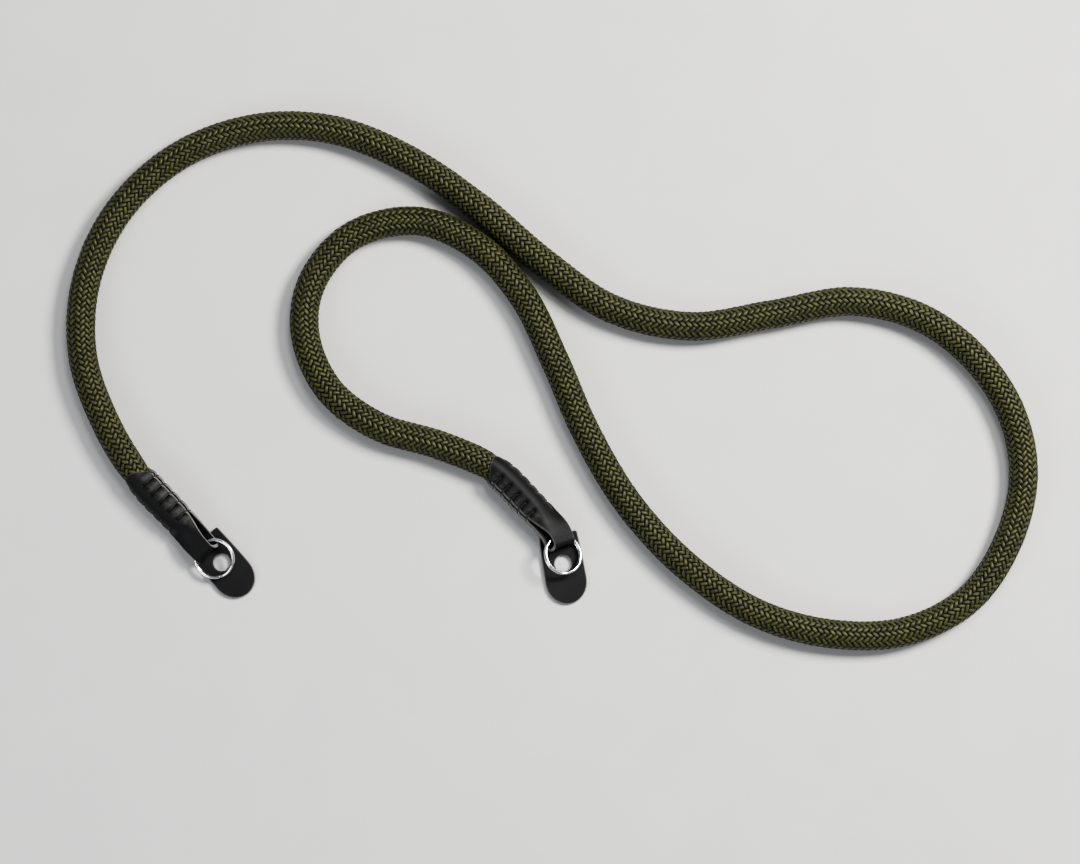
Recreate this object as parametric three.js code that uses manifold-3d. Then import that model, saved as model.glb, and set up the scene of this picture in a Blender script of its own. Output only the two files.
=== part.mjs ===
// Rope camera strap, lying on a flat surface: one thick braided rope whose two ends are sewn
// into leather tabs, a split ring through the loop of each tab, and a leather guard under
// each ring, which keeps the ring off the camera's body.
// Millimetres, +Z up. The origin is on the surface, at the middle of the box round the two
// leather ends with their rings and guards. +X runs from the left end to the right end.

import * as THREE from "three";
import { mergeVertices } from "three/addons/utils/BufferGeometryUtils.js";
import Module from "manifold-3d";

const wasm = await Module();
wasm.setup();

// Rope
const ROPE_DIAMETER = 12.4;
const ROPE_SIDES = 12;
const ROPE_STEPS = 80;
const ROPE_HEIGHT = (ROPE_DIAMETER / 2) * Math.cos(Math.PI / ROPE_SIDES); // of its axis
const ROPE_IN_TAB = 22; // length of each rope end that is sewn into its tab
const NECK_LENGTH = 7; // the last free stretch, which narrows towards the tab
const NECK_OVERLAP = 3; // of the neck's solid inside the free rope's

// Leather tabs, measured along the tab from its mouth to the fold round the ring
const TAB_LENGTH = 44;
const TAB_SIDES = 28;
const LOOP_MIDDLE = 40.2;
const LOOP_WALL_GAP = 0.32; // between the ring and the leather round it
const LOOP_SLACK = 1.3; // extra room behind the ring, towards the rope
const TUNNEL_CHAMFER = 0.35;

// Split rings, two turns of flat wire lying on each other
const RING_OUTER_RADIUS = 8.5;
const WIRE_WIDTH = 1.2; // across the ring
const WIRE_THICKNESS = 0.9; // along the ring's axis
const TURN_GAP = 0.12; // between the two turns
const RING_STEPS = 56;
const RING_REACH = 2.6; // of the ring's centre beyond the fold

// Leather guards, flat with a round foot
const GUARD_THICKNESS = 2;
const GUARD_TOP_WIDTH = 16.2;
const GUARD_WIDTH = 17.4;
const GUARD_LENGTH = 30;
const GUARD_CORNER = 1;
const LUG_HOLE_DIAMETER = 7;
const LUG_HOLE_SIDES = 24;
const LUG_HOLE_FROM_TOP = 13;

const RADIANS = Math.PI / 180;

// The rope's centre line in plan, from its end inside the left tab to its end inside the
// right tab. It lies in a wide arc, a round lobe on the right, and a small loop back to the
// right tab, and never crosses itself.
const ROUTE = [
  [-75.9, 6.3],
  [-90.5, 22],
  [-104, 43],
  [-115, 73],
  [-114, 105],
  [-100.5, 135],
  [-75, 158.5],
  [-43.5, 170],
  [-11.5, 169.5],
  [19.5, 157.5],
  [50, 137],
  [78.8, 112.5],
  [106.5, 93.5],
  [139.5, 86],
  [173.5, 91],
  [207.5, 96.5],
  [236.5, 89.5],
  [258.5, 73],
  [273.5, 50],
  [278.5, 24],
  [272, -3.5],
  [255.5, -28],
  [229.5, -41.5],
  [199.5, -43],
  [167.5, -34.5],
  [137.5, -14.5],
  [113.5, 11.5],
  [95.5, 42],
  [83, 71],
  [69.5, 98.5],
  [50.8, 119.3],
  [25.5, 130.5],
  [-2, 124.5],
  [-19, 105],
  [-22, 83],
  [-12, 59.5],
  [8.5, 44],
  [34.5, 36],
  [57, 26],
  [72.4, 11.3],
];

// The two ends. A spine runs along the middle of the tab, from the rope before its mouth to
// the fold. Roll turns the tab about its spine, so one seam faces up; it eases from the
// mouth's value to the fold's. The lug hole and the turn place the guard, whose foot points
// along its turn.
const ENDS = [
  {
    side: "left",
    spine: [
      [-104, 43, ROPE_HEIGHT],
      [-90.5, 22, ROPE_HEIGHT],
      [-75.9, 6.3, ROPE_HEIGHT],
      [-70.1, 0, 6],
      [-65.1, -5.6, 5.8],
      [-61.1, -9.7, 5.5],
    ],
    mouthRoll: 30,
    foldRoll: 12,
    ringDroop: 3,
    ringShift: 0,
    lugHole: [-56.4, -12.9],
    guardTurn: -49.5,
  },
  {
    side: "right",
    spine: [
      [34.5, 36, ROPE_HEIGHT],
      [57, 26, ROPE_HEIGHT],
      [72.4, 11.3, ROPE_HEIGHT],
      [78.5, 5, 6.4],
      [83.2, -0.8, 6.75],
      [85.7, -7.2, 6.4],
    ],
    mouthRoll: -30,
    foldRoll: -25,
    ringDroop: 0,
    ringShift: -0.7,
    lugHole: [86.2, -13.4],
    guardTurn: -80,
  },
];

// Sections of a tab. Bevel below 1 squares a section, above 1 draws its sides out to a seam.
const TAB_SECTIONS = [
  { at: 0, halfWidth: 6.0, halfHeight: 5.6, bevel: 1 },
  { at: 0.8, halfWidth: 6.3, halfHeight: 5.9, bevel: 1.1 },
  { at: 7, halfWidth: 6.4, halfHeight: 5.9, bevel: 1.15 },
  { at: 13, halfWidth: 6.4, halfHeight: 5.9, bevel: 1.15 },
  { at: 19, halfWidth: 6.4, halfHeight: 5.8, bevel: 1.15 },
  { at: 24, halfWidth: 6.3, halfHeight: 5.0, bevel: 1.1 },
  { at: 28, halfWidth: 6.2, halfHeight: 3.5, bevel: 1 },
  { at: 32, halfWidth: 6.1, halfHeight: 2.4, bevel: 0.8 },
  { at: 35, halfWidth: 6.0, halfHeight: 2.4, bevel: 0.6 },
  { at: 37.5, halfWidth: 5.9, halfHeight: 2.8, bevel: 0.55 },
  { at: 41.5, halfWidth: 5.9, halfHeight: 2.8, bevel: 0.55 },
  { at: 43, halfWidth: 5.8, halfHeight: 2.1, bevel: 0.6 },
  { at: 44, halfWidth: 5.6, halfHeight: 1.1, bevel: 0.7 },
];

// The rope's end, and the room for it in the tab.
const NECK_SECTIONS = [
  { at: -NECK_LENGTH - NECK_OVERLAP, radius: 5.95 },
  { at: -NECK_LENGTH, radius: 5.95 },
  { at: -3, radius: 5.75 },
  { at: -1.3, radius: 5.4 },
  { at: -0.1, radius: 4.15 },
  { at: 10, radius: 4.15 },
  { at: 19, radius: 4.05 },
  { at: ROPE_IN_TAB, radius: 3.25 },
];
const POCKET_SECTIONS = [
  { at: -1, radius: 4.62 },
  { at: 10, radius: 4.62 },
  { at: 19, radius: 4.5 },
  { at: ROPE_IN_TAB + 0.4, radius: 3.7 },
];

// ---- Solids and geometries ----

function solidOf(geometry) {
  const bare = new THREE.BufferGeometry();
  bare.setAttribute("position", geometry.getAttribute("position"));
  bare.setIndex(geometry.index);
  const merged = mergeVertices(bare, 1e-4);
  return new wasm.Manifold(
    new wasm.Mesh({
      numProp: 3,
      vertProperties: merged.attributes.position.array,
      triVerts: new Uint32Array(merged.index.array),
    }),
  );
}

function geometryOf(solid) {
  const mesh = solid.getMesh();
  const geometry = new THREE.BufferGeometry();
  const position = new THREE.BufferAttribute(mesh.vertProperties, 3);
  geometry.setAttribute("position", position);
  geometry.setIndex(new THREE.BufferAttribute(mesh.triVerts, 1));
  geometry.computeVertexNormals();
  return geometry;
}

function moved(geometry, matrix) {
  return geometry.clone().applyMatrix4(matrix);
}

// ---- Frames along a tab ----

function curveThrough(points) {
  return new THREE.CatmullRomCurve3(
    points.map(([x, y, z = ROPE_HEIGHT]) => new THREE.Vector3(x, y, z)),
  );
}

const ease = (t) => THREE.MathUtils.smoothstep(t, 0, 1);

// The point at a distance from the tab's mouth, with the directions along the tab, across
// it to the left, and out of its upper face.
function frameAt(end, at) {
  const u = 1 - (TAB_LENGTH - at) / end.curve.getLength();
  const point = end.curve.getPointAt(Math.min(u, 1));
  const along = end.curve.getTangentAt(Math.min(u, 1));
  if (u > 1) point.addScaledVector(along, at - TAB_LENGTH);
  const rollShare = ease((at - ROPE_IN_TAB) / (LOOP_MIDDLE - ROPE_IN_TAB));
  const roll = THREE.MathUtils.lerp(end.mouthRoll, end.foldRoll, rollShare);
  const across = new THREE.Vector3(0, 0, 1).cross(along).normalize();
  across.applyAxisAngle(along, roll * RADIANS);
  const out = along.clone().cross(across);
  return { point, along, across, out };
}

// A closed cylinder drawn along the tab through a table of sections. The outline gives a
// section's half width, half height and bevel.
function drawnThrough(end, sections, sides, outline) {
  const rows = sections.length - 1;
  const geometry = new THREE.CylinderGeometry(1, 1, 1, sides, rows);
  const position = geometry.getAttribute("position");
  const bend = (value, power) => Math.sign(value) * Math.abs(value) ** power;
  for (let i = 0; i < position.count; i++) {
    const section = sections[Math.round((0.5 - position.getY(i)) * rows)];
    const { halfWidth, halfHeight, bevel } = outline(section);
    const { point, across, out } = frameAt(end, section.at);
    const sideways = halfWidth * bend(position.getX(i), Math.min(bevel, 1));
    const upwards = halfHeight * bend(position.getZ(i), bevel);
    point.addScaledVector(across, sideways).addScaledVector(out, upwards);
    position.setXYZ(i, point.x, point.y, point.z);
  }
  return geometry;
}

const round = ({ radius }) => ({ halfWidth: radius, halfHeight: radius, bevel: 1 });

// ---- Rope ----

// Part of a curve, between two distances from its start.
class Stretch extends THREE.Curve {
  constructor(curve, from, to) {
    super();
    this.curve = curve;
    this.from = from / curve.getLength();
    this.to = to / curve.getLength();
  }
  getPoint(t, target = new THREE.Vector3()) {
    return this.curve.getPointAt(THREE.MathUtils.lerp(this.from, this.to, t), target);
  }
}

function polygon(sides, halfWidth, halfHeight) {
  const corners = Array.from({ length: sides }, (_, i) => {
    const angle = ((i + 0.5) / sides) * 2 * Math.PI;
    return new THREE.Vector2(halfWidth * Math.cos(angle), halfHeight * Math.sin(angle));
  });
  return new THREE.Shape(corners);
}

function rope() {
  const route = curveThrough(ROUTE);
  const narrow = ROPE_IN_TAB + NECK_LENGTH;
  const free = new Stretch(route, narrow, route.getLength() - narrow);
  const section = polygon(ROPE_SIDES, ROPE_DIAMETER / 2, ROPE_DIAMETER / 2);
  const tube = new THREE.ExtrudeGeometry(section, {
    steps: ROPE_STEPS,
    extrudePath: free,
    bevelEnabled: false,
  });
  return ENDS.reduce(
    (whole, end) => whole.add(solidOf(drawnThrough(end, NECK_SECTIONS, ROPE_SIDES, round))),
    solidOf(tube),
  );
}

// ---- Split ring ----

// The wire's centre line: the lower turn, a short step up past the two wire ends, and the
// upper turn.
class SplitRingLine extends THREE.Curve {
  getPoint(t, target = new THREE.Vector3()) {
    const stepHalf = 25 * RADIANS;
    const endGap = 4 * RADIANS;
    const first = stepHalf + endGap;
    const last = 4 * Math.PI - stepHalf - endGap;
    const angle = THREE.MathUtils.lerp(first, last, t);
    const stepStart = 2 * Math.PI - stepHalf;
    const rise = (WIRE_THICKNESS + TURN_GAP) / 2;
    const level = 2 * ease((angle - stepStart) / (2 * stepHalf)) - 1;
    const radius = RING_OUTER_RADIUS - WIRE_WIDTH / 2;
    return target.set(radius * Math.cos(angle), radius * Math.sin(angle), rise * level);
  }
}

function splitRing() {
  // The section's first axis lies along the ring's axis.
  const corner = 1 / Math.cos(Math.PI / 6);
  const section = polygon(6, (WIRE_THICKNESS / 2) * corner, WIRE_WIDTH / 2);
  return new THREE.ExtrudeGeometry(section, {
    steps: RING_STEPS,
    extrudePath: new SplitRingLine(),
    bevelEnabled: false,
  });
}

// The ring lies in the plane of the tab's loop, let down a little at its far side. Its own
// first axis points away from the tab, so the wire ends lie at the far side.
function ringPlace(end) {
  const { point, along, across, out } = frameAt(end, LOOP_MIDDLE);
  const droop = end.ringDroop * RADIANS;
  along.applyAxisAngle(across, droop);
  out.applyAxisAngle(across, droop);
  point.addScaledVector(along, TAB_LENGTH + RING_REACH - LOOP_MIDDLE);
  point.addScaledVector(across, end.ringShift);
  return new THREE.Matrix4().makeBasis(along, across, out).setPosition(point);
}

// ---- Leather tab ----

// The tunnel through the loop: a flat round groove that follows the ring's near side.
function ringTunnel() {
  const inner = RING_OUTER_RADIUS - WIRE_WIDTH - LOOP_WALL_GAP;
  const outer = RING_OUTER_RADIUS + LOOP_SLACK;
  const half = WIRE_THICKNESS + TURN_GAP / 2 + LOOP_WALL_GAP;
  const side = half - TUNNEL_CHAMFER;
  const profile = [
    [inner, -side],
    [inner + TUNNEL_CHAMFER, -half],
    [outer - TUNNEL_CHAMFER, -half],
    [outer, -side],
    [outer, side],
    [outer - TUNNEL_CHAMFER, half],
    [inner + TUNNEL_CHAMFER, half],
    [inner, side],
    [inner, -side],
  ];
  const points = profile.map(([radius, height]) => new THREE.Vector2(radius, height));
  const ring = new THREE.LatheGeometry(points, 48);
  return ring.rotateX(Math.PI / 2);
}

function tab(end) {
  const body = drawnThrough(end, TAB_SECTIONS, TAB_SIDES, (section) => section);
  const pocket = drawnThrough(end, POCKET_SECTIONS, ROPE_SIDES, round);
  const tunnel = moved(ringTunnel(), ringPlace(end));
  return solidOf(body).subtract(solidOf(pocket)).subtract(solidOf(tunnel));
}

// ---- Leather guard ----

// Drawn with the lug hole at its origin, its square top towards +Y and its round foot
// towards -Y.
function guardShape() {
  const top = LUG_HOLE_FROM_TOP;
  const foot = LUG_HOLE_FROM_TOP - GUARD_LENGTH;
  const shoulder = foot + GUARD_WIDTH * 0.56;
  const halfTop = GUARD_TOP_WIDTH / 2;
  const half = GUARD_WIDTH / 2;
  const shape = new THREE.Shape();
  shape.moveTo(-halfTop + GUARD_CORNER, top);
  shape.lineTo(halfTop - GUARD_CORNER, top);
  shape.quadraticCurveTo(halfTop, top, halfTop, top - GUARD_CORNER);
  shape.quadraticCurveTo(half, shoulder + half, half, shoulder);
  shape.absellipse(0, shoulder, half, shoulder - foot, 0, -Math.PI, true);
  shape.quadraticCurveTo(-half, shoulder + half, -halfTop, top - GUARD_CORNER);
  shape.quadraticCurveTo(-halfTop, top, -halfTop + GUARD_CORNER, top);
  shape.holes.push(polygon(LUG_HOLE_SIDES, LUG_HOLE_DIAMETER / 2, LUG_HOLE_DIAMETER / 2));
  return shape;
}

function guard() {
  return new THREE.ExtrudeGeometry(guardShape(), {
    depth: GUARD_THICKNESS,
    curveSegments: 12,
    bevelEnabled: false,
  });
}

// ---- The strap ----

const oliveBraid = new THREE.MeshStandardMaterial({
  color: 0x5d6034,
  roughness: 0.8,
  metalness: 0,
});
const blackLeather = new THREE.MeshStandardMaterial({
  color: 0x1b1b1c,
  roughness: 0.5,
  metalness: 0,
});
const chrome = new THREE.MeshStandardMaterial({
  color: 0xd0d2d4,
  roughness: 0.18,
  metalness: 1,
});

const strap = new THREE.Group();

function place(name, geometry, material) {
  const mesh = new THREE.Mesh(geometry, material);
  mesh.name = name;
  strap.add(mesh);
  return mesh;
}

for (const end of ENDS) end.curve = curveThrough(end.spine);

place("rope", geometryOf(rope()), oliveBraid);
for (const end of ENDS) {
  place(`${end.side}_tab`, geometryOf(tab(end)), blackLeather);
  const ring = place(`${end.side}_ring`, splitRing(), chrome);
  ring.applyMatrix4(ringPlace(end));
  const plate = place(`${end.side}_guard`, guard(), blackLeather);
  plate.position.set(...end.lugHole, 0);
  plate.rotation.z = end.guardTurn * RADIANS + Math.PI / 2;
}

export default strap;
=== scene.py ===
"""A rope camera strap lying on a surface. Metres, +Z up, in the frame of its solids.

The rope is a braid of strands over a core coloured near black, as painted shade for the gaps
between the strands. Each of its ends is sewn into a leather strip that is folded round a split
ring, and a loose leather guard lies under each ring.
"""

import math

import bmesh
import bpy
import numpy as np
from mathutils import Matrix, Vector


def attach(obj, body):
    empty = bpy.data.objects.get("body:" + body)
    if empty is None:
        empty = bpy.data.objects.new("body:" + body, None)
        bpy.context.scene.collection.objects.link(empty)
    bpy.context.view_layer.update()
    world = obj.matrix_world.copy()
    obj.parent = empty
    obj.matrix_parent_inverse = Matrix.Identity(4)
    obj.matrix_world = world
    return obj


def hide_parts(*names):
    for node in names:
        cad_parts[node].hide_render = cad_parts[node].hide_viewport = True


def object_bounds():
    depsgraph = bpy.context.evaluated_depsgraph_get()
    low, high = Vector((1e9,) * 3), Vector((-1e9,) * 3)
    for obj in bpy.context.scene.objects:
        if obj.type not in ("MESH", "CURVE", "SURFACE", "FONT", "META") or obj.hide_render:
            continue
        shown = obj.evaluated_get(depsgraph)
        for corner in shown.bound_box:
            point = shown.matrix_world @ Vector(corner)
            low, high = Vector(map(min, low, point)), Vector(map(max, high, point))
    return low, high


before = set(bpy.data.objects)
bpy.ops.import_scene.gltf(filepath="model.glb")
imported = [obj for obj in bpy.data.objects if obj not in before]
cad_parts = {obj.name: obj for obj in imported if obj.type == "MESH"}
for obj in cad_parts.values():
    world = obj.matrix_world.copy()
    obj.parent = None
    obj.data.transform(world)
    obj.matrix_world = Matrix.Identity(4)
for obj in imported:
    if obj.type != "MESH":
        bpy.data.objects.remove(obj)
cad_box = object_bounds()

MM = 0.001

# Rope. The braid has eight columns of strands that slant one way and eight between them that
# slant the other way. Each stretch of a strand that shows is a float.
ROPE_RADIUS = 6.2 * MM
CORE_RADIUS = 5.3 * MM
ROPE_IN_TAB = 22 * MM
COLUMNS = 16
COLUMN_WIDTH = 2 * math.pi * 6.0 * MM / COLUMNS
FLOAT_PITCH = 2.55 * MM
FLOAT_LENGTH = 4.4 * MM
FLOAT_WIDTH = 1.62 * MM
FLOAT_HEIGHT = 0.5 * MM
FLOAT_SINK = 0.62 * MM

# The share of the rope's full thickness, by the distance into the tab.
NECK = np.array([
    (-16 * MM, 1.0),
    (-8 * MM, 0.985),
    (-4 * MM, 0.955),
    (-2 * MM, 0.92),
    (0 * MM, 0.85),
    (2 * MM, 0.76),
    (4 * MM, 0.69),
    (19 * MM, 0.67),
    (22 * MM, 0.53),
])

# Leather tabs, along the tab from its mouth to the fold round the ring. Widths and heights
# are from the tab's middle to the outside of the leather.
TAB_LENGTH = 44 * MM
LEATHER = 1.3 * MM
FOLD_OUTER_RADIUS = 2.8 * MM
FOLD_RADIUS = FOLD_OUTER_RADIUS - LEATHER / 2
FOLD_CENTRE = TAB_LENGTH - FOLD_OUTER_RADIUS
TAB_FORM = [
    {"at": -5, "half_width": 6.6, "height": 6.35, "seam_height": 1.35},
    {"at": 0, "half_width": 6.7, "height": 6.15, "seam_height": 1.35},
    {"at": 5, "half_width": 6.8, "height": 5.95, "seam_height": 1.35},
    {"at": 13, "half_width": 6.8, "height": 5.9, "seam_height": 1.35},
    {"at": 20, "half_width": 6.7, "height": 5.75, "seam_height": 1.35},
    {"at": 24, "half_width": 6.5, "height": 5.1, "seam_height": 1.35},
    {"at": 28, "half_width": 6.3, "height": 3.9, "seam_height": 1.55},
    {"at": 32, "half_width": 6.1, "height": 3.05, "seam_height": 2.1},
    {"at": 36, "half_width": 6.0, "height": 2.8, "seam_height": 2.6},
    {"at": 41.2, "half_width": 5.8, "height": 2.8, "seam_height": 2.8},
    {"at": 44, "half_width": 5.8, "height": 2.8, "seam_height": 2.8},
]
MOUTH_REACH = 2.6 * MM  # of the strip's rounded end over the rope
MOUTH_CORNER = 5.6 * MM  # from the end's middle back to its corners
MOUTH_FADE = 9 * MM  # how far into the tab the end's rounding is felt
FOLD_DIP = 0.6 * MM  # of the fold's middle behind its edges
LOWER_PEEK = 0.6 * MM  # of the lower layer past the upper one along the seam
OPEN_AT = 22 * MM  # where the seam begins to open towards the fold
OPEN_OVER = 16 * MM
OPEN_TRIM = 2.3 * MM  # off the upper layer's edge at the open seam
SHIFT_AT = 20 * MM  # where the strip begins to lie to one side
SHIFT_OVER = 18 * MM

# Stitches, and what they do to the leather round them
STITCHES_AT = [4.6 * MM, 9.6 * MM, 14.6 * MM, 19.6 * MM, 24.6 * MM]
STITCH_PITCH = 5 * MM
THREAD_RADIUS = 0.32 * MM
THREAD_PAST_EDGE = 0.5 * MM
SEWN_HALF_WIDTH = 6.3 * MM
PUCKER_HEIGHT = 0.34 * MM
SLIT_LENGTH = 0.7 * MM
SLIT_WIDTH = 0.5 * MM
SLIT_DEPTH = 0.5 * MM
HOLE_WIDTH = 0.7 * MM
HOLE_DEPTH = 0.35 * MM
CREASE_WIDTH = 0.38 * MM
CREASE_HEIGHT = 0.08 * MM
CREASE_REACH = 2.2 * MM
SEAM_PULL = 0.35 * MM

# Split rings
RING_OUTER_RADIUS = 8.5 * MM
WIRE_WIDTH = 1.2 * MM
WIRE_THICKNESS = 0.94 * MM
TURN_RISE = 1.0 * MM
RING_REACH = 2.6 * MM  # of the ring's centre beyond the fold
LOOP_MIDDLE = 40.2 * MM

# The rope's centre line in plan, from its end inside the left tab to its end inside the right.
ROUTE = [
    (-0.0759, 0.0063),
    (-0.0905, 0.0220),
    (-0.1040, 0.0430),
    (-0.1150, 0.0730),
    (-0.1140, 0.1050),
    (-0.1005, 0.1350),
    (-0.0750, 0.1585),
    (-0.0435, 0.1700),
    (-0.0115, 0.1695),
    (0.0195, 0.1575),
    (0.0500, 0.1370),
    (0.0788, 0.1125),
    (0.1065, 0.0935),
    (0.1395, 0.0860),
    (0.1735, 0.0910),
    (0.2075, 0.0965),
    (0.2365, 0.0895),
    (0.2585, 0.0730),
    (0.2735, 0.0500),
    (0.2785, 0.0240),
    (0.2720, -0.0035),
    (0.2555, -0.0280),
    (0.2295, -0.0415),
    (0.1995, -0.0430),
    (0.1675, -0.0345),
    (0.1375, -0.0145),
    (0.1135, 0.0115),
    (0.0955, 0.0420),
    (0.0830, 0.0710),
    (0.0695, 0.0985),
    (0.0508, 0.1193),
    (0.0255, 0.1305),
    (-0.0020, 0.1245),
    (-0.0190, 0.1050),
    (-0.0220, 0.0830),
    (-0.0120, 0.0595),
    (0.0085, 0.0440),
    (0.0345, 0.0360),
    (0.0570, 0.0260),
    (0.0724, 0.0113),
]
ROUTE_HEIGHT = ROPE_RADIUS
MOUTH_HEIGHT = 5.99 * MM

# The two ends. The spine runs along the middle of the tab to its fold. The rolls turn the tab
# about its spine at its mouth and at its fold, and seam_up is the side whose seam shows. The
# droop tips the ring down, and the shifts move the ring and the fold sideways. The stitches'
# holes lie at a share of the tab's half width.
ENDS = {
    "left": {
        "spine": [
            (-0.1040, 0.0430, MOUTH_HEIGHT),
            (-0.0905, 0.0220, MOUTH_HEIGHT),
            (-0.0759, 0.0063, MOUTH_HEIGHT),
            (-0.0701, 0.0000, 0.0061),
            (-0.0651, -0.0056, 0.0061),
            (-0.0611, -0.0097, 0.0060),
        ],
        "mouth_roll": 30,
        "fold_roll": 12,
        "ring_droop": 3,
        "ring_shift": 0,
        "fold_shift": 0,
        "stitch_across": 0.3,
        "seam_up": 1,
    },
    "right": {
        "spine": [
            (0.0345, 0.0360, MOUTH_HEIGHT),
            (0.0570, 0.0260, MOUTH_HEIGHT),
            (0.0724, 0.0113, MOUTH_HEIGHT),
            (0.0785, 0.0050, 0.0066),
            (0.0832, -0.0008, 0.0071),
            (0.0857, -0.0072, 0.0070),
        ],
        "mouth_roll": -30,
        "fold_roll": -25,
        "ring_droop": 0,
        "ring_shift": -0.6 * MM,
        "fold_shift": -0.2 * MM,
        "stitch_across": 0.46,
        "seam_up": -1,
    },
}


# ---- Curves and frames ----


class Line:
    """A smooth curve through points, measured along its own length."""

    def __init__(self, knots, steps=60):
        knots = np.array(knots, float)
        ends = 2 * knots[0] - knots[1], 2 * knots[-1] - knots[-2]
        knots = np.vstack([ends[0], knots, ends[1]])
        t = np.linspace(0, 1, steps, endpoint=False)[:, None]
        rows = []
        for before, start, end, after in zip(knots, knots[1:], knots[2:], knots[3:]):
            gap_in = np.linalg.norm(start - before) ** 0.5
            gap = np.linalg.norm(end - start) ** 0.5
            gap_out = np.linalg.norm(after - end) ** 0.5
            slope = (end - start) / gap
            leave = (start - before) / gap_in - (end - before) / (gap_in + gap) + slope
            arrive = slope - (after - start) / (gap + gap_out) + (after - end) / gap_out
            leave, arrive = leave * gap, arrive * gap
            square = 3 * (end - start) - 2 * leave - arrive
            cube = 2 * (start - end) + leave + arrive
            rows.append(start + t * (leave + t * (square + t * cube)))
        self.points = np.vstack([*rows, knots[-2]])
        pieces = np.linalg.norm(np.diff(self.points, axis=0), axis=1)
        self.reached = np.concatenate([[0.0], np.cumsum(pieces)])
        self.length = self.reached[-1]

    def point(self, at):
        columns = [np.interp(at, self.reached, column) for column in self.points.T]
        return np.stack(columns, axis=-1)

    def along(self, at, reach=0.4 * MM):
        at = np.asarray(at, float)
        step = self.point(at + reach) - self.point(at - reach)
        return step / np.linalg.norm(step, axis=-1, keepdims=True)


def ease(t):
    t = np.clip(t, 0.0, 1.0)
    return t * t * (3 - 2 * t)


def bump(distance, width):
    return np.exp(-((distance / width) ** 2))


ROUTE_LINE = Line(ROUTE)
BRAID_START = ROPE_IN_TAB - 4 * MM
BRAID_LENGTH = ROUTE_LINE.length - 2 * BRAID_START
HALF_ROWS = round(BRAID_LENGTH / FLOAT_PITCH / 2)
FLOAT_STEP = BRAID_LENGTH / HALF_ROWS / 2


def depth_in_tab(at):
    """How far into the nearer tab a point of the route lies; outside it is below 0."""
    return np.maximum(ROPE_IN_TAB - at, at - (ROUTE_LINE.length - ROPE_IN_TAB))


def rope_share(at):
    return np.interp(depth_in_tab(at), *NECK.T)


def rope_centre(at):
    plan = ROUTE_LINE.point(at)
    free = ease(-depth_in_tab(at) / (40 * MM))
    height = MOUTH_HEIGHT + (ROUTE_HEIGHT - MOUTH_HEIGHT) * free
    return np.concatenate([plan, height[..., None]], axis=-1)


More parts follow.
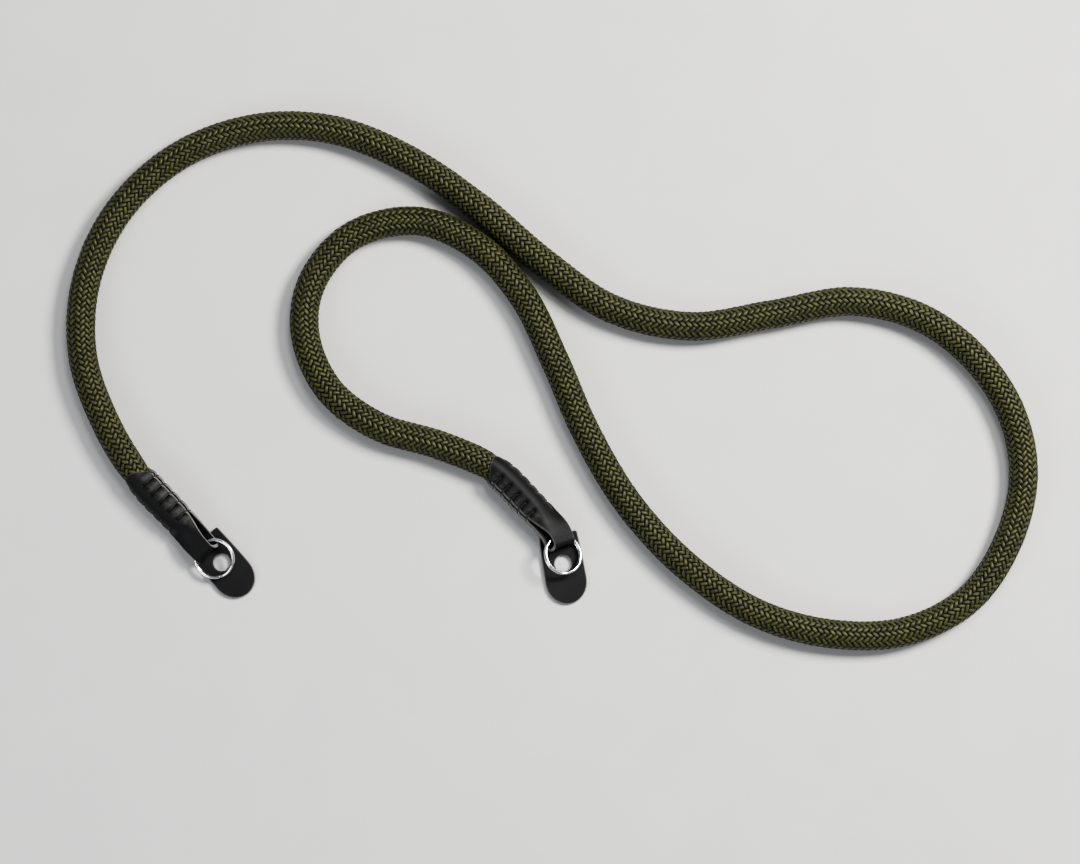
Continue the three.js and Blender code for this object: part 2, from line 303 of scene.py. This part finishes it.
class Tab:
    """The frames and the leather's middle surface of one end's tab."""

    form = Line([list(row.values()) for row in TAB_FORM]).points * MM

    def __init__(self, side):
        self.side = side
        self.end = ENDS[side]
        self.stitch_across = self.end["stitch_across"]
        self.line = Line(self.end["spine"])

    def frames(self, at):
        """The point at a distance from the mouth, and the ways along, across and out."""
        reach = self.line.length - (TAB_LENGTH - at)
        on = np.minimum(reach, self.line.length - 0.5 * MM)
        along = self.line.along(on)
        point = self.line.point(on) + along * (reach - on)[..., None]
        across = np.cross([0, 0, 1], along)
        across /= np.linalg.norm(across, axis=-1, keepdims=True)
        out = np.cross(along, across)
        share = ease((at - ROPE_IN_TAB) / (LOOP_MIDDLE - ROPE_IN_TAB))
        turn = self.end["mouth_roll"] + share * (self.end["fold_roll"] - self.end["mouth_roll"])
        turn = np.radians(turn)[..., None]
        across = across * np.cos(turn) + out * np.sin(turn)
        return point, along, across, np.cross(along, across)

    def place(self, at, across, out):
        point, _, sideways, upwards = self.frames(at)
        return point + sideways * across[..., None] + upwards * out[..., None]

    @staticmethod
    def half_strip():
        return FOLD_CENTRE + FOLD_RADIUS * math.pi / 2

    @staticmethod
    def mouth_shift(at, side):
        """The rounding of the mouth's corners, which fades along the tab."""
        rounding = MOUTH_CORNER * np.abs(side) ** 2.2 - MOUTH_REACH
        return rounding * (1 - ease(at / MOUTH_FADE))

    def middle(self, run, side):
        """The leather's middle surface. run goes along the strip from the upper layer's mouth
        over the fold, where it is 0, to the lower layer's mouth; side goes from -1 to 1."""
        turn = np.clip(np.abs(run) / FOLD_RADIUS, 0, math.pi / 2)
        in_fold = 1 - turn / (math.pi / 2)
        straight = np.maximum(np.abs(run) - FOLD_RADIUS * math.pi / 2, 0)
        at = FOLD_CENTRE - straight + FOLD_RADIUS * np.cos(turn)
        at = np.where(straight > 0, FOLD_CENTRE - straight, at)
        at = at - FOLD_DIP * (1 - side**2) * in_fold
        at = at + self.mouth_shift(at, side)
        lower = run > 0
        width, height, seam = (np.interp(at, self.form[:, 0], c) for c in self.form.T[1:])
        height, seam = height - LEATHER / 2, seam - LEATHER / 2
        seam_side = np.maximum(side * self.end["seam_up"], 0)
        open_seam = ease((at - OPEN_AT) / OPEN_OVER)
        peek = np.where(lower, LOWER_PEEK, 0) * (1 - open_seam) * ease(at / (4 * MM))
        turned = ease(0.5 - run / (math.pi * FOLD_RADIUS))
        width = width + (peek - OPEN_TRIM * open_seam * turned) * seam_side
        arch = np.maximum(1 - np.abs(side / 0.9) ** 2.4, 0) ** 1.4
        out = seam + (height - seam) * arch
        out = np.where(straight > 0, out, FOLD_RADIUS * np.sin(turn))
        shift = self.end["fold_shift"] * ease((at - SHIFT_AT) / SHIFT_OVER)
        return at, width * side + shift, np.where(lower, -out, out)

    def relief(self, at, side):
        """How far the stitches draw the leather in, and the puckers between them stand out."""
        reach = np.abs(side)
        sewn = ease(at / (2 * MM)) * (1 - ease((at - 27 * MM) / (5 * MM)))
        beyond = ease((reach - self.stitch_across + 0.12) / 0.3)
        edge = ease((reach - 0.84) / 0.16)
        phase = (at - STITCHES_AT[0]) / STITCH_PITCH
        ridge = 0.5 - 0.5 * np.cos(2 * math.pi * phase)
        depth = PUCKER_HEIGHT * sewn * beyond * ridge * (1 - 0.8 * edge)
        for hole in STITCHES_AT:
            off = at - hole
            across = (reach - self.stitch_across) * SEWN_HALF_WIDTH
            slit = np.hypot(off / SLIT_WIDTH, np.minimum(across, 0) / SLIT_LENGTH)
            depth = depth - SLIT_DEPTH * np.exp(-(slit**2)) * (1 - 0.9 * edge)
            depth = depth - HOLE_DEPTH * bump(np.hypot(off, across), HOLE_WIDTH)
            spread = 4 * np.sign(off) * (reach - self.stitch_across)
            fan = np.sin(off / CREASE_WIDTH + spread)
            near = bump(np.hypot(off, across * 0.6), CREASE_REACH) * beyond
            depth = depth + CREASE_HEIGHT * fan * near
        return depth

    def pull(self, at, side):
        """How far the stitches draw the seams' edges in."""
        drawn = sum(bump(at - hole, 1.1 * MM) for hole in STITCHES_AT)
        return -SEAM_PULL * drawn * ease((np.abs(side) - 0.7) / 0.3) * np.sign(side)

    def surface(self, run, side, lift=0.0):
        """Points of the leather with its relief, lifted from its middle along its normal."""
        def flat(run, side):
            at, across, out = self.middle(run, side)
            return self.place(at, across + self.pull(at, side), out)

        step = 0.02 * MM
        tilt = 0.004
        inner = np.clip(side, tilt - 1, 1 - tilt)
        ahead = flat(run + step, inner) - flat(run - step, inner)
        aside = flat(run, inner + tilt) - flat(run, inner - tilt)
        normal = np.cross(ahead, aside)
        normal /= np.linalg.norm(normal, axis=-1, keepdims=True)
        at = self.middle(run, side)[0]
        points = flat(run, side) + normal * (self.relief(at, side) + lift)[..., None]
        points[..., 2] = np.maximum(points[..., 2], LEATHER / 2)
        return points

    def run_of(self, at, side, lower):
        """The run of places on the sewn stretch, found by taking the mouth's rounding off."""
        before = at
        for _ in range(12):
            before = at - self.mouth_shift(before, side)
        run = FOLD_CENTRE - before + FOLD_RADIUS * math.pi / 2
        return run if lower else -run

    def ring_place(self):
        """The ring's own frame: its first axis points away from the tab."""
        point, along, across, out = (v[0] for v in self.frames(np.array([LOOP_MIDDLE])))
        droop = Matrix.Rotation(math.radians(self.end["ring_droop"]), 3, Vector(across))
        along, out = droop @ Vector(along), droop @ Vector(out)
        across = Vector(across)
        centre = Vector(point) + along * (TAB_LENGTH + RING_REACH - LOOP_MIDDLE)
        centre += across * self.end["ring_shift"]
        turn = Matrix((along, across, out)).transposed().to_4x4()
        return Matrix.Translation(centre) @ turn


# ---- Materials ----


class Value:
    """A number in a material's nodes, which can be written in sums and products."""

    def __init__(self, finish, socket):
        self.finish = finish
        self.socket = socket

    def math(self, operation, *terms):
        sockets = dict(enumerate(terms))
        return self.finish.node("ShaderNodeMath", {"operation": operation}, sockets)

    def __add__(self, other):
        return self.math("ADD", self, other)

    def __radd__(self, other):
        return self.math("ADD", other, self)

    def __sub__(self, other):
        return self.math("SUBTRACT", self, other)

    def __rsub__(self, other):
        return self.math("SUBTRACT", other, self)

    def __mul__(self, other):
        return self.math("MULTIPLY", self, other)

    def __rmul__(self, other):
        return self.math("MULTIPLY", other, self)

    def __pow__(self, other):
        return self.math("POWER", self, other)

    def clamp(self):
        return self.finish.node("ShaderNodeClamp", {}, {"Value": self})


class Finish:
    """A material with one shader. Constants go on the shader's own sockets."""

    def __init__(self, name, **constants):
        self.material = bpy.data.materials.new(name)
        self.material.use_nodes = True
        self.tree = self.material.node_tree
        self.shader = self.tree.nodes["Principled BSDF"]
        for socket, value in constants.items():
            self.shader.inputs[socket.replace("_", " ")].default_value = value

    def node(self, kind, settings, sockets, out=0):
        made = self.tree.nodes.new(kind)
        for key, value in settings.items():
            if key == "stops":
                self.set_stops(made.color_ramp.elements, value)
            else:
                setattr(made, key, value)
        for key, value in sockets.items():
            self.feed(made.inputs[key], value)
        return Value(self, made.outputs[out])

    @staticmethod
    def set_stops(elements, stops):
        while len(elements) < len(stops):
            elements.new(1.0)
        for element, (position, colour) in zip(elements, stops):
            element.position = position
            element.color = colour

    def feed(self, socket, value):
        if isinstance(value, Value):
            self.tree.links.new(value.socket, socket)
        else:
            socket.default_value = value

    def paint(self, **varying):
        for socket, value in varying.items():
            self.feed(self.shader.inputs[socket.replace("_", " ")], value)
        return self.material

    def place(self):
        return self.node("ShaderNodeTexCoord", {}, {}, "Object")

    def uv(self, name):
        return self.node("ShaderNodeUVMap", {"uv_map": name}, {})

    def attribute(self, name):
        return self.node("ShaderNodeAttribute", {"attribute_name": name}, {}, "Fac")

    def stretched(self, vector, scale):
        return self.node("ShaderNodeMapping", {}, {"Vector": vector, "Scale": scale})

    def noise(self, vector, scale, detail=3.0, roughness=0.5):
        sockets = {"Vector": vector, "Scale": scale, "Detail": detail, "Roughness": roughness}
        return self.node("ShaderNodeTexNoise", {}, sockets)

    def pebbles(self, vector, scale):
        sockets = {"Vector": vector, "Scale": scale}
        return self.node("ShaderNodeTexVoronoi", {"feature": "SMOOTH_F1"}, sockets)

    def blend(self, share, low, high):
        sockets = {0: share, 6: low, 7: high}
        return self.node("ShaderNodeMix", {"data_type": "RGBA"}, sockets, 2)

    def ramp(self, value, stops):
        grey = [(position, (level, level, level, 1)) for position, level in stops]
        return self.node("ShaderNodeValToRGB", {"stops": grey}, {"Fac": value})

    def bump(self, height, distance, strength=1.0):
        sockets = {"Height": height, "Distance": distance, "Strength": strength}
        return self.node("ShaderNodeBump", {}, sockets)


def olive_yarn():
    finish = Finish("olive_yarn", Sheen_Weight=0.08, Sheen_Roughness=0.4, Specular_IOR_Level=0.5)
    yarn = finish.uv("yarn")
    fibres = finish.noise(finish.stretched(yarn, (0.45, 7.0, 1.0)), 1.0, 2.0)
    strands = finish.node("ShaderNodeTexWave", {"bands_direction": "Y"}, {
        "Vector": yarn, "Scale": 0.55, "Distortion": 0.6, "Detail": 1.0,
    }, "Fac")
    patches = finish.noise(finish.place(), 38.0, 2.0)
    tone = finish.attribute("tone")
    crown = finish.attribute("crown")
    light = (fibres * 0.5 + patches * 0.3 + tone * 0.4 + strands * 0.25 - 0.25).clamp()
    strand = finish.blend(light, (0.014, 0.016, 0.002, 1), (0.09, 0.094, 0.018, 1))
    # Painted shade: by the crown's height, the floats' colour darkens to near black down their
    # sides and into the gaps between them.
    painted_gap_shade = (crown ** 4 * 1.2).clamp()
    colour = finish.blend(painted_gap_shade, (0.004, 0.0045, 0.001, 1), strand)
    normal = finish.bump(fibres * 0.5 + strands * 0.6, 0.1 * MM, 0.8)
    return finish.paint(Base_Color=colour, Roughness=0.36 + fibres * 0.26, Normal=normal)


def rope_core_finish():
    finish = Finish("core_yarn")
    grain = finish.noise(finish.place(), 1400.0, 2.0)
    # Painted shade: the core is coloured near black so that the gaps between the floats read as
    # shaded.
    colour = finish.blend(grain, (0.006, 0.007, 0.002, 1), (0.018, 0.019, 0.006, 1))
    normal = finish.bump(grain, 0.2 * MM, 0.7)
    return finish.paint(Base_Color=colour, Roughness=0.8 + grain * 0.15, Normal=normal)


def leather(name, dark, light, grain_depth, roughness, rubbed_and_highlight=None):
    finish = Finish(name, Specular_IOR_Level=0.3)
    place = finish.place()
    pebbles = finish.pebbles(place, 3600.0)
    folds = finish.noise(place, 900.0, 3.0, 0.55)
    cloud = finish.noise(place, 95.0, 3.0)
    scuffs = finish.noise(finish.stretched(place, (1.0, 2.2, 1.0)), 700.0, 5.0, 0.65)
    worn = finish.ramp(scuffs * 0.6 + cloud * 0.4, [(0.5, 0.0), (0.72, 1.0)])
    colour = finish.blend((cloud * 0.6 + worn * 0.4).clamp(), dark, light)
    # Lighter near the cut edges as rubbed wear, and lighter on the raised puckers between the
    # stitches as a painted highlight.
    if rubbed_and_highlight:
        rim = (1 - finish.attribute("rim") * 2.2).clamp()
        painted_ridge_highlight = finish.attribute("raised") * (folds + scuffs - 0.8).clamp() * 0.7
        colour = finish.blend(rim * (0.35 + folds * 0.5) + painted_ridge_highlight, colour, rubbed_and_highlight)
    height = pebbles * 0.5 + folds * 0.6
    normal = finish.bump(height, grain_depth)
    rough = roughness + cloud * 0.16 + worn * 0.12
    return finish.paint(Base_Color=colour, Roughness=rough, Normal=normal)


def raw_edge(name, dark, light):
    finish = Finish(name)
    place = finish.place()
    fibres = finish.noise(place, 1900.0, 3.0, 0.6)
    patches = finish.noise(place, 300.0, 2.0)
    light_share = (fibres * 0.8 + patches * 0.5 - 0.15).clamp()
    colour = finish.blend(light_share, dark, light)
    normal = finish.bump(fibres, 0.18 * MM, 0.8)
    return finish.paint(Base_Color=colour, Roughness=0.62 + fibres * 0.25, Normal=normal)


def waxed_thread():
    finish = Finish("waxed_thread", Sheen_Weight=0.15)
    twist = finish.noise(finish.place(), 2600.0, 2.0)
    colour = finish.blend(twist, (0.003, 0.003, 0.0035, 1), (0.014, 0.014, 0.014, 1))
    normal = finish.bump(twist, 0.15 * MM, 0.8)
    return finish.paint(Base_Color=colour, Roughness=0.35 + twist * 0.25, Normal=normal)


def polished_chrome():
    finish = Finish("polished_chrome", Metallic=1.0)
    place = finish.place()
    scratches = finish.noise(finish.stretched(place, (1.0, 1.0, 6.0)), 900.0, 4.0, 0.7)
    haze = finish.noise(place, 160.0, 3.0)
    worn = finish.ramp(scratches, [(0.55, 0.0), (0.75, 1.0)])
    colour = finish.blend(haze, (0.66, 0.67, 0.69, 1), (0.84, 0.85, 0.86, 1))
    normal = finish.bump(scratches, 0.02 * MM, 0.5)
    rough = 0.1 + worn * 0.14 + haze * 0.06
    return finish.paint(Base_Color=colour, Roughness=rough, Normal=normal)


def pale_floor():
    finish = Finish("pale_floor", Roughness=0.75)
    grain = finish.noise(finish.place(), 30.0, 4.0)
    colour = finish.blend(grain, (0.55, 0.545, 0.54, 1), (0.6, 0.595, 0.585, 1))
    return finish.paint(Base_Color=colour)


# ---- Pieces ----


def add(name, data, *materials):
    made = bpy.data.objects.new(name, data)
    bpy.context.scene.collection.objects.link(made)
    for material in materials:
        data.materials.append(material)
    return made


def mesh_of(bm):
    mesh = bpy.data.meshes.new("piece")
    bm.to_mesh(mesh)
    bm.free()
    mesh.polygons.foreach_set("use_smooth", np.ones(len(mesh.polygons), bool))
    return mesh


def points_of(mesh):
    values = np.empty(len(mesh.vertices) * 3)
    mesh.vertices.foreach_get("co", values)
    return values.reshape(-1, 3)


def move_points(mesh, points):
    mesh.vertices.foreach_set("co", np.ascontiguousarray(points, np.float32).ravel())
    mesh.update()


def finished(piece):
    """The piece with its modifiers made part of its mesh."""
    graph = bpy.context.evaluated_depsgraph_get()
    whole = bpy.data.meshes.new_from_object(piece.evaluated_get(graph))
    piece.modifiers.clear()
    piece.data = whole
    return piece


def modifier(piece, kind, **settings):
    made = piece.modifiers.new(kind.lower(), kind)
    for key, value in settings.items():
        setattr(made, key, value)
    return made


def store(mesh, name, values):
    attribute = mesh.attributes.new(name, "FLOAT", "POINT")
    attribute.data.foreach_set("value", np.ascontiguousarray(values, np.float32))


def rope_core():
    """The inside of the rope, a tube along the whole route and into both tabs."""
    at = np.linspace(0, ROUTE_LINE.length, 600)
    curve = bpy.data.curves.new("rope_core", "CURVE")
    curve.dimensions = "3D"
    curve.bevel_depth = CORE_RADIUS
    curve.bevel_resolution = 5
    curve.use_fill_caps = True
    spline = curve.splines.new("POLY")
    spline.points.add(len(at) - 1)
    points = np.column_stack([rope_centre(at), np.ones(len(at))])
    spline.points.foreach_set("co", points.astype(np.float32).ravel())
    spline.points.foreach_set("radius", rope_share(at).astype(np.float32))
    return add("rope_core", curve, rope_core_finish())


def float_mesh(slant):
    """One float lying flat, with x along the rope and y round it."""
    bm = bmesh.new()
    bmesh.ops.create_uvsphere(bm, u_segments=8, v_segments=7, radius=1)
    turn = Matrix.Rotation(math.pi / 2, 3, "Y")
    bmesh.ops.rotate(bm, verts=bm.verts, cent=(0, 0, 0), matrix=turn)
    yarn = bm.loops.layers.uv.new("yarn")
    for face in bm.faces:
        for loop in face.loops:
            spot = loop.vert.co
            loop[yarn].uv = (spot.x * FLOAT_LENGTH / 2 / MM, math.atan2(spot.y, spot.z))
    # The ball becomes a fuller, squarer pillow, whose ends sink under their neighbours.
    for vert in bm.verts:
        along, across, out = vert.co
        girth = math.hypot(across, out)
        fuller = (1.0001 - along**4) ** 0.25 / max(girth, 0.01)
        across = math.copysign(abs(across / max(girth, 0.01)) ** 0.75, across)
        out = math.copysign(abs(out / max(girth, 0.01)) ** 0.6, out)
        fullness = fuller * girth
        sink = FLOAT_SINK * (0.3 * along**2 + 0.7 * along**6)
        height = FLOAT_HEIGHT * (out * fullness - 1) - sink
        vert.co = (
            along * FLOAT_LENGTH / 2,
            across * fullness * FLOAT_WIDTH / 2,
            ROPE_RADIUS - CORE_RADIUS + height,
        )
    lean = math.atan2(COLUMN_WIDTH, FLOAT_STEP) * slant
    turn = Matrix.Rotation(lean, 3, "Z")
    bmesh.ops.rotate(bm, verts=bm.verts, cent=(0, 0, 0), matrix=turn)
    place = Vector((FLOAT_STEP * slant / 4, COLUMN_WIDTH * (0.75 - 0.5 * slant), 0))
    bmesh.ops.translate(bm, verts=bm.verts, vec=place)
    return mesh_of(bm)


def braid(slant, half, seed, material):
    """Half of the strands that slant one way: one float, repeated along the straight rope and
    round it, and then bent along the route."""
    one = float_mesh(slant)
    count = len(one.vertices)
    side, way = ("left", "right")[half], {1: "s", -1: "z"}[slant]
    piece = add(f"{side}_{way}_strands", one, material)
    modifier(
        piece, "ARRAY", count=HALF_ROWS,
        use_relative_offset=False, use_constant_offset=True,
        constant_offset_displace=(FLOAT_STEP, 0, 0),
    )
    modifier(
        piece, "ARRAY", count=COLUMNS // 2,
        use_relative_offset=False, use_constant_offset=True,
        constant_offset_displace=(0, 2 * COLUMN_WIDTH, 0),
    )
    finished(piece)
    straight = points_of(piece.data)
    x, y, z = straight.T
    rng = np.random.default_rng(seed)
    floats = np.arange(len(x)) // count
    total = floats[-1] + 1

    def of_float(low, high):
        return rng.uniform(low, high, total)[floats]

    store(piece.data, "tone", of_float(0, 1))
    top = ROPE_RADIUS - CORE_RADIUS
    # crown is each point's height on its float; the yarn's colour uses it to paint shade into
    # the gaps between floats.
    store(piece.data, "crown", np.clip(z / top, 0, 1))
    # No two floats lie quite alike, and the columns wander slowly round the rope.
    z = z - of_float(0, 0.1 * MM)
    start = BRAID_START + half * HALF_ROWS * FLOAT_STEP
    at = start + x + of_float(-0.08, 0.08) * MM
    wander = 0.1 * np.sin(at / 0.16 + 1) + 0.05 * np.sin(at / 0.037)
    angle = (y + of_float(-0.05, 0.05) * MM) / (COLUMNS * COLUMN_WIDTH) * 2 * math.pi + wander
    radius = (CORE_RADIUS + z) * rope_share(at)
    along = ROUTE_LINE.along(at)
    across = np.column_stack([-along[:, 1], along[:, 0], np.zeros(len(at))])
    points = rope_centre(at) + across * (radius * np.cos(angle))[:, None]
    points[:, 2] += radius * np.sin(angle)
    points[:, 2] = np.maximum(points[:, 2], 0.02 * MM)
    move_points(piece.data, points)
    piece.data.flip_normals()  # the bending turned the floats inside out
    return piece


def tab_leather(tab, top, edge):
    """The folded strip: a sheet over the rope's end, round the ring and back under it."""
    bm = bmesh.new()
    bmesh.ops.create_grid(bm, x_segments=250, y_segments=52, size=1)
    mesh = mesh_of(bm)
    flat = points_of(mesh)
    run, side = flat[:, 0] * tab.half_strip(), flat[:, 1]
    move_points(mesh, tab.surface(run, side))
    to_mouth = tab.half_strip() - np.abs(run)
    half_width = 6.2 * MM
    to_seam = (1 - np.abs(side)) * half_width
    store(mesh, "rim", np.minimum(to_mouth, to_seam) / MM)
    # raised is how far the puckers stand out; the leather paints a highlight on them from it.
    raised = tab.relief(tab.middle(run, side)[0], side)
    store(mesh, "raised", np.clip(raised / (0.3 * MM), 0, 1))
    piece = add(f"{tab.side}_tab_leather", mesh, top, edge)
    modifier(piece, "SOLIDIFY", thickness=LEATHER, offset=0, material_offset_rim=1)
    modifier(
        piece, "BEVEL", width=0.16 * MM, segments=2, limit_method="ANGLE",
        angle_limit=math.radians(55), profile=0.5,
    )
    return finished(piece)


def tab_thread(tab, material):
    """A stitch from each hole over the seam's edge to the hole under it."""
    curve = bpy.data.curves.new("thread", "CURVE")
    curve.dimensions = "3D"
    curve.bevel_depth = THREAD_RADIUS
    curve.bevel_resolution = 2
    curve.use_fill_caps = True
    start = tab.stitch_across
    reach = np.array([start, start + 0.07, 0.7, 0.86, 0.96])
    lift = np.array([-0.9, 0.05, 0.24, 0.3, 0.32]) * MM + LEATHER / 2
    for seam in (-1, 1):
        for hole in STITCHES_AT:
            layers = []
            for lower in (False, True):
                slant = (0.5 if lower else -0.5) * MM * (reach - start) * 2
                run = tab.run_of(hole + slant, reach, lower)
                layers.append(tab.surface(run, reach * seam, lift))
            upper, under = layers[0], layers[1][::-1]
            edge = (upper[-1] + under[0]) / 2
            away = tab.frames(np.array([hole]))[2][0] * seam
            edge = edge + away * THREAD_PAST_EDGE
            path = Line(np.vstack([upper, edge, under]), steps=5).points
            spline = curve.splines.new("POLY")
            spline.points.add(len(path) - 1)
            flat = np.column_stack([path, np.ones(len(path))]).astype(np.float32)
            spline.points.foreach_set("co", flat.ravel())
            spline.use_smooth = True
    return add(f"{tab.side}_tab_thread", curve, material)


def split_ring(tab, material):
    """Two turns of wire: the lower one, a short step up, and the upper one."""
    bm = bmesh.new()
    sides = 14
    made = bmesh.ops.create_circle(bm, segments=sides, radius=0.5)
    for vert in made["verts"]:
        radius = RING_OUTER_RADIUS - WIRE_WIDTH / 2 + vert.co.x * WIRE_WIDTH
        vert.co = (radius, 0, vert.co.y * WIRE_THICKNESS - TURN_RISE / 2)
    step_half = math.radians(25)
    first = step_half + math.radians(4)
    turn = Matrix.Rotation(first, 3, "Z")
    bmesh.ops.rotate(bm, verts=bm.verts, cent=(0, 0, 0), matrix=turn)
    level_turn = 2 * math.pi - step_half - first
    level_steps, rises = 72, 12
    heights = ease(np.linspace(0, 1, rises + 1)) * TURN_RISE
    stages = [(level_turn, level_steps, 0.0)]
    stages += [(2 * step_half / rises, 1, rise) for rise in np.diff(heights)]
    stages += [(level_turn, level_steps, 0.0)]
    last = bm.verts[:] + bm.edges[:]
    for angle, steps, rise in stages:
        made = bmesh.ops.spin(
            bm, geom=last, cent=(0, 0, 0), axis=(0, 0, 1), dvec=(0, 0, rise),
            angle=angle, steps=steps, use_duplicate=False,
        )
        last = made["geom_last"]
    bmesh.ops.remove_doubles(bm, verts=bm.verts, dist=0.001 * MM)
    bmesh.ops.holes_fill(bm, edges=[e for e in bm.edges if e.is_boundary], sides=sides)
    caps = [face for face in bm.faces if len(face.verts) == sides]
    rims = [edge for face in caps for edge in face.edges]
    bmesh.ops.bevel(
        bm, geom=rims, offset=0.12 * MM, segments=2, profile=0.5, affect="EDGES", material=-1,
    )
    bmesh.ops.recalc_face_normals(bm, faces=bm.faces)
    bmesh.ops.transform(bm, matrix=tab.ring_place(), verts=bm.verts)
    return add(f"{tab.side}_ring_wire", mesh_of(bm), material)


def guard_leather(side, top, edge):
    """The flat guard with its cut edges rounded."""
    bm = bmesh.new()
    bm.from_mesh(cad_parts[f"{side}_guard"].data)
    bmesh.ops.remove_doubles(bm, verts=bm.verts, dist=0.01 * MM)
    rims = [e for e in bm.edges if e.calc_face_angle(0) > math.radians(50)]
    bmesh.ops.bevel(
        bm, geom=rims, offset=0.55 * MM, segments=4, profile=0.5, affect="EDGES", material=-1,
    )
    for face in bm.faces:
        face.material_index = 0 if abs(face.normal.z) > 0.86 else 1
    mesh = mesh_of(bm)
    for face in mesh.polygons:
        face.use_smooth = abs(face.normal.z) < 0.999
    return add(f"{side}_guard_leather", mesh, top, edge)


# ---- Camera, floor and lights ----


def look_along(made, target, place):
    made.location = place
    made.rotation_euler = (place - target).to_track_quat("Z", "Y").to_euler()


def camera():
    """The camera looks steeply down, a little to the left of and below the strap's middle."""
    low, high = (Vector(corner) for corner in cad_box)
    target = (low + high) / 2 + Vector((-4.8, -21.8, 0)) * MM
    target.z = 0
    distance = 1.47
    elevation = math.radians(85)
    back = Vector((0, -math.cos(elevation), math.sin(elevation)))
    data = bpy.data.cameras.new("camera")
    data.sensor_width = 36
    data.lens = 116.67
    data.clip_end = 20
    made = bpy.data.objects.new("camera", data)
    bpy.context.scene.collection.objects.link(made)
    look_along(made, target, target + distance * back)
    bpy.context.scene.camera = made


def soft_light(name, place, size, power, colour):
    data = bpy.data.lights.new(name, "AREA")
    data.shape = "DISK"
    data.size = size
    data.energy = power
    data.color = colour
    made = bpy.data.objects.new(name, data)
    bpy.context.scene.collection.objects.link(made)
    look_along(made, Vector((0.08, 0.06, 0)), Vector(place))


def studio():
    bm = bmesh.new()
    bmesh.ops.create_grid(bm, x_segments=1, y_segments=1, size=4)
    bmesh.ops.translate(bm, verts=bm.verts, vec=(0, 0, -0.1 * MM))
    floor = add("floor", mesh_of(bm), pale_floor())
    soft_light("key", (0.85, 0.45, 1.05), 0.45, 25, (1.0, 0.98, 0.95))
    soft_light("overhead", (0.3, 0.6, 1.4), 0.5, 6, (1.0, 1.0, 1.0))
    soft_light("fill", (-0.8, -0.7, 0.9), 0.7, 6, (0.95, 0.97, 1.0))
    world = bpy.data.worlds.new("studio")
    world.use_nodes = True
    world.node_tree.nodes["Background"].inputs["Color"].default_value = (0.9, 0.93, 1, 1)
    world.node_tree.nodes["Background"].inputs["Strength"].default_value = 0.25
    bpy.context.scene.world = world
    bpy.context.scene.view_settings.look = "AgX - High Contrast"


# ---- The strap ----


def place_rope():
    core = rope_core()
    yarn = olive_yarn()
    strands = [
        braid(slant, half, 11 + 2 * half + slant, yarn) for half in (0, 1) for slant in (1, -1)
    ]
    for piece in (core, *strands):
        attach(piece, "root")
    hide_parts("rope")
    mouth = rope_centre(np.array([ROPE_IN_TAB]))[0]


def place_ends():
    tab_top = leather(
        "tab_leather", (0.004, 0.004, 0.0045, 1), (0.014, 0.014, 0.0145, 1), 0.025 * MM, 0.5,
        rubbed_and_highlight=(0.12, 0.118, 0.11, 1),
    )
    guard_top = leather(
        "guard_leather", (0.005, 0.005, 0.0052, 1), (0.016, 0.016, 0.0165, 1), 0.025 * MM, 0.45,
    )
    edge = raw_edge("cut_edge", (0.05, 0.05, 0.048, 1), (0.26, 0.25, 0.235, 1))
    thread, chrome = waxed_thread(), polished_chrome()
    for side in ENDS:
        tab = Tab(side)
        rows = [
            (tab_leather(tab, tab_top, edge), "tab_leather", f"{side}_tab"),
            (tab_thread(tab, thread), "tab_leather", None),
            (split_ring(tab, chrome), "ring_metal", f"{side}_ring"),
            (guard_leather(side, guard_top, edge), "guard_leather", f"{side}_guard"),
        ]
        for piece, slot, node in rows:
            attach(piece, "root")
            if node:
                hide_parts(node)


camera()
place_rope()
place_ends()
studio()
